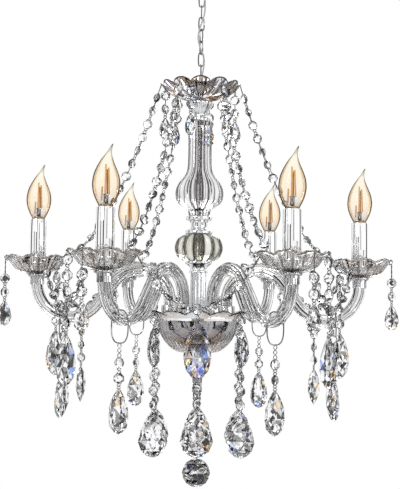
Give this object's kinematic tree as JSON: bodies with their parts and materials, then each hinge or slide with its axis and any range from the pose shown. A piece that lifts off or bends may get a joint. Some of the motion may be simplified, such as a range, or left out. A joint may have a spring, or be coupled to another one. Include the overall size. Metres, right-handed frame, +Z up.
{
  "type": "crystal chandelier",
  "caption": "Crystal chandelier with curved glass arms, petalled drip dishes, candle sleeves with flame bulbs, bead festoons and cut drops, hung by a chain from a ceiling canopy.",
  "frame": {"origin": "centre of the mounting bar's slots, on its top face, in the ceiling plane", "axes": "+Z up into the ceiling, +X along the mounting bar and the first arm"},
  "size_m": [0.5597, 0.482, 0.7582],
  "materials": {
    "chrome": "polished",
    "bar_steel": "zinc plated",
    "cable": "smooth",
    "clear_glass": "cut and polished",
    "smoke_mirror": "smoked mirror",
    "candle": "ribbed and polished",
    "holder": "smooth",
    "bulb_glass": "clear warm tint",
    "bulb_metal": "polished",
    "crystal": "cut and polished"
  },
  "bodies": {
    "ceiling_fitting": {"mounting_bar": "bar_steel", "canopy_nipple": "chrome", "ceiling_canopy": "chrome", "canopy_loop": "chrome"},
    "first_link": {"top_link": "chrome"},
    "chain_run": {"chain": "chrome", "supply_cable": "cable"},
    "screw_collar": {"stem_loop": "chrome"},
    "chandelier": {"arm_1": "clear_glass", "arm_2": "clear_glass", "arm_3": "clear_glass", "arm_4": "clear_glass", "arm_5": "clear_glass", "arm_6": "clear_glass", "arm_bows": "chrome", "arm_ferrules": "chrome", "arm_hub": "chrome", "ball_cap": "clear_glass", "ball_cup": "clear_glass", "bobeche_1": "clear_glass", "bobeche_2": "clear_glass", "bobeche_3": "clear_glass", "bobeche_4": "clear_glass", "bobeche_5": "clear_glass", "bobeche_6": "clear_glass", "bowl_glass": "clear_glass", "bowl_liner": "smoke_mirror", "bulb_bases": "bulb_metal", "bulb_glasses": "bulb_glass", "candle_cups": "chrome", "candle_sleeves": "candle", "column_glass": "clear_glass", "crown_dish": "clear_glass", "crown_neck": "clear_glass", "crystal_garlands": "crystal", "finial": "chrome", "fixed_drops": "crystal", "lamp_holders": "holder", "ribbed_ball": "clear_glass", "stem_rod": "chrome", "stem_sleeve": "clear_glass"},
    "arm_drop_1_body": {"arm_drop_1": "crystal"},
    "arm_drop_2_body": {"arm_drop_2": "crystal"},
    "arm_drop_3_body": {"arm_drop_3": "crystal"},
    "arm_drop_4_body": {"arm_drop_4": "crystal"},
    "arm_drop_5_body": {"arm_drop_5": "crystal"},
    "arm_drop_6_body": {"arm_drop_6": "crystal"},
    "bowl_strand_1_body": {"bowl_strand_1": "crystal"},
    "bowl_strand_2_body": {"bowl_strand_2": "crystal"},
    "bowl_strand_3_body": {"bowl_strand_3": "crystal"},
    "bowl_strand_4_body": {"bowl_strand_4": "crystal"},
    "bowl_strand_5_body": {"bowl_strand_5": "crystal"},
    "bowl_strand_6_body": {"bowl_strand_6": "crystal"},
    "outer_drop_1_body": {"outer_drop_1": "crystal"},
    "outer_drop_2_body": {"outer_drop_2": "crystal"},
    "outer_drop_3_body": {"outer_drop_3": "crystal"},
    "outer_drop_4_body": {"outer_drop_4": "crystal"},
    "outer_drop_5_body": {"outer_drop_5": "crystal"},
    "outer_drop_6_body": {"outer_drop_6": "crystal"},
    "centre_drop_body": {"centre_drop": "crystal"}
  },
  "joints": [
    {"name": "link_sway", "type": "hinge", "parent": "ceiling_fitting", "child": "first_link", "pos_m": [0, 0, -0.052], "axis": [1, 0, 0], "range_deg": [-10, 10]},
    {"name": "chain_sway", "type": "hinge", "parent": "first_link", "child": "chain_run", "pos_m": [0, 0, -0.0685], "axis": [0, 1, 0], "range_deg": [-10, 10]},
    {"name": "lamp_sway", "type": "hinge", "parent": "chain_run", "child": "screw_collar", "pos_m": [0, 0, -0.1875], "axis": [0, 1, 0], "range_deg": [-10, 10]},
    {"name": "lamp_turn", "type": "hinge", "parent": "screw_collar", "child": "chandelier", "pos_m": [0, 0, -0.2137], "axis": [0, 0, 1], "range_deg": [-30, 30]},
    {"name": "outer_drop_1_sway", "type": "hinge", "parent": "chandelier", "child": "outer_drop_1_body", "pos_m": [0.2699, 0, -0.44285], "axis": [0, -1, 0], "range_deg": [-8, 18]},
    {"name": "outer_drop_2_sway", "type": "hinge", "parent": "chandelier", "child": "outer_drop_2_body", "pos_m": [0.13495, 0.23374, -0.44285], "axis": [0.866, -0.5, 0], "range_deg": [-8, 18]},
    {"name": "outer_drop_3_sway", "type": "hinge", "parent": "chandelier", "child": "outer_drop_3_body", "pos_m": [-0.13495, 0.23374, -0.44285], "axis": [0.866, 0.5, 0], "range_deg": [-8, 18]},
    {"name": "outer_drop_4_sway", "type": "hinge", "parent": "chandelier", "child": "outer_drop_4_body", "pos_m": [-0.2699, 0, -0.44285], "axis": [0, 1, 0], "range_deg": [-8, 18]},
    {"name": "outer_drop_5_sway", "type": "hinge", "parent": "chandelier", "child": "outer_drop_5_body", "pos_m": [-0.13495, -0.23374, -0.44285], "axis": [-0.866, 0.5, 0], "range_deg": [-8, 18]},
    {"name": "outer_drop_6_sway", "type": "hinge", "parent": "chandelier", "child": "outer_drop_6_body", "pos_m": [0.13495, -0.23374, -0.44285], "axis": [-0.866, -0.5, 0], "range_deg": [-8, 18]},
    {"name": "arm_drop_1_sway", "type": "hinge", "parent": "chandelier", "child": "arm_drop_1_body", "pos_m": [0.191, 0, -0.55628], "axis": [0, -1, 0], "range_deg": [-12, 12]},
    {"name": "arm_drop_2_sway", "type": "hinge", "parent": "chandelier", "child": "arm_drop_2_body", "pos_m": [0.0955, 0.16541, -0.55628], "axis": [0.866, -0.5, 0], "range_deg": [-12, 12]},
    {"name": "arm_drop_3_sway", "type": "hinge", "parent": "chandelier", "child": "arm_drop_3_body", "pos_m": [-0.0955, 0.16541, -0.55628], "axis": [0.866, 0.5, 0], "range_deg": [-12, 12]},
    {"name": "arm_drop_4_sway", "type": "hinge", "parent": "chandelier", "child": "arm_drop_4_body", "pos_m": [-0.191, 0, -0.55628], "axis": [0, 1, 0], "range_deg": [-12, 12]},
    {"name": "arm_drop_5_sway", "type": "hinge", "parent": "chandelier", "child": "arm_drop_5_body", "pos_m": [-0.0955, -0.16541, -0.55628], "axis": [-0.866, 0.5, 0], "range_deg": [-12, 12]},
    {"name": "arm_drop_6_sway", "type": "hinge", "parent": "chandelier", "child": "arm_drop_6_body", "pos_m": [0.0955, -0.16541, -0.55628], "axis": [-0.866, -0.5, 0], "range_deg": [-12, 12]},
    {"name": "bowl_strand_1_sway", "type": "hinge", "parent": "chandelier", "child": "bowl_strand_1_body", "pos_m": [0.05892, 0.03402, -0.51665], "axis": [0.5, -0.866, 0], "range_deg": [-5, 15]},
    {"name": "bowl_strand_2_sway", "type": "hinge", "parent": "chandelier", "child": "bowl_strand_2_body", "pos_m": [0, 0.06804, -0.51665], "axis": [1, 0, 0], "range_deg": [-5, 15]},
    {"name": "bowl_strand_3_sway", "type": "hinge", "parent": "chandelier", "child": "bowl_strand_3_body", "pos_m": [-0.05892, 0.03402, -0.51665], "axis": [0.5, 0.866, 0], "range_deg": [-5, 15]},
    {"name": "bowl_strand_4_sway", "type": "hinge", "parent": "chandelier", "child": "bowl_strand_4_body", "pos_m": [-0.05892, -0.03402, -0.51665], "axis": [-0.5, 0.866, 0], "range_deg": [-5, 15]},
    {"name": "bowl_strand_5_sway", "type": "hinge", "parent": "chandelier", "child": "bowl_strand_5_body", "pos_m": [0, -0.06804, -0.51665], "axis": [-1, 0, 0], "range_deg": [-5, 15]},
    {"name": "bowl_strand_6_sway", "type": "hinge", "parent": "chandelier", "child": "bowl_strand_6_body", "pos_m": [0.05892, -0.03402, -0.51665], "axis": [-0.5, -0.866, 0], "range_deg": [-5, 15]},
    {"name": "centre_drop_sway", "type": "hinge", "parent": "chandelier", "child": "centre_drop_body", "pos_m": [0, 0, -0.59905], "axis": [1, 0, 0], "range_deg": [-10, 10]}
  ]
}
